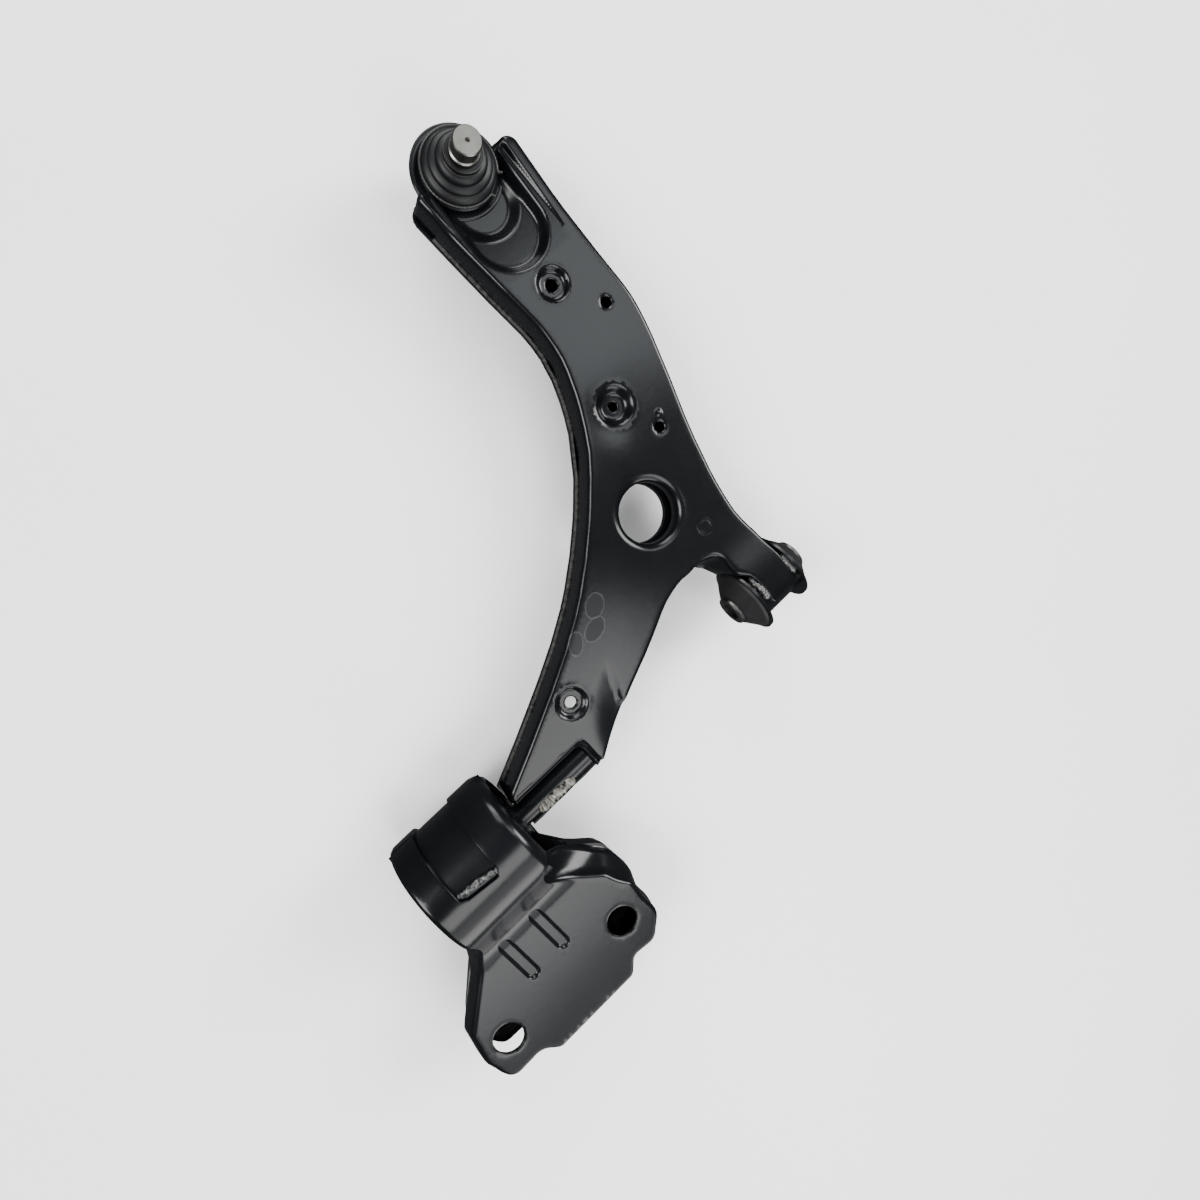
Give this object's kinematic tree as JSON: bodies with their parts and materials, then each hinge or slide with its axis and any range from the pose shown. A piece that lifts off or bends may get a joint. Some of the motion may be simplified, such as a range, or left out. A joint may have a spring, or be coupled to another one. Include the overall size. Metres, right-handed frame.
{
  "type": "suspension control arm",
  "caption": "Pressed clamshell suspension arm with a booted ball joint, a small front bush in a welded tube and a large rear bush in a bolted bracket.",
  "frame": {"origin": "centre of the front bush bore, on the bush axis", "axes": "+X along the bush axis from the rear bush to the front bush, +Y towards the ball joint, +Z towards the side the ball stud stands on"},
  "size_m": [0.4299, 0.5299, 0.091],
  "materials": {
    "black_paint": "satin",
    "weld": "rough",
    "bare_steel": "turned",
    "plated_wire": "satin",
    "bush_rubber": "matt",
    "boot_rubber": "satin",
    "liner": "smooth"
  },
  "bodies": {
    "bracket": {"bracket_upper_shell": "black_paint", "bracket_lower_shell": "black_paint", "bracket_seam_weld": "weld", "bracket_window_weld": "weld", "rear_bush_outer_tube": "black_paint", "rear_bush_rubber": "bush_rubber"},
    "arm": {"arm_upper_shell": "black_paint", "arm_lower_shell": "black_paint", "arm_seam_weld": "weld", "front_tube": "black_paint", "front_tube_weld": "weld", "front_bush_outer_sleeve_a": "black_paint", "front_bush_outer_sleeve_b": "black_paint", "front_bush_rubber": "bush_rubber", "ball_housing": "black_paint", "housing_weld": "weld", "ball_closing_cap": "black_paint", "dust_boot": "boot_rubber", "boot_lower_clip": "plated_wire", "rear_pin": "bare_steel", "rear_pin_weld": "weld", "rear_bush_inner_sleeve": "bare_steel"},
    "front_sleeve": {"front_bush_inner_sleeve": "bare_steel"},
    "ball_seat": {"ball_seat_liner": "liner"},
    "boot_collar": {"boot_upper_clip": "plated_wire"},
    "stud": {"ball_stud": "bare_steel"}
  },
  "joints": [
    {"name": "arm_swing", "type": "hinge", "parent": "bracket", "child": "arm", "pos_m": [-0.291, 0, 0], "axis": [1, 0, 0], "range_deg": [-18, 18], "stiffness_Nm_per_rad": 200},
    {"name": "front_sleeve_twist", "type": "hinge", "parent": "arm", "child": "front_sleeve", "pos_m": [0, 0, 0], "axis": [1, 0, 0], "range_deg": [-18, 18]},
    {"name": "ball_tilt_x", "type": "hinge", "parent": "arm", "child": "ball_seat", "pos_m": [-0.001, 0.351, -0.003], "axis": [1, 0, 0], "range_deg": [-14, 14], "deforming": ["dust_boot"]},
    {"name": "ball_tilt_y", "type": "hinge", "parent": "ball_seat", "child": "boot_collar", "pos_m": [-0.001, 0.351, -0.003], "axis": [0, 1, 0], "range_deg": [-14, 14]},
    {"name": "ball_spin", "type": "hinge", "parent": "boot_collar", "child": "stud", "pos_m": [-0.001, 0.351, -0.003], "axis": [0, 0, 1], "continuous": true}
  ],
  "couplings": [
    {"joint": "front_sleeve_twist", "follows": "arm_swing", "ratio": -1}
  ]
}
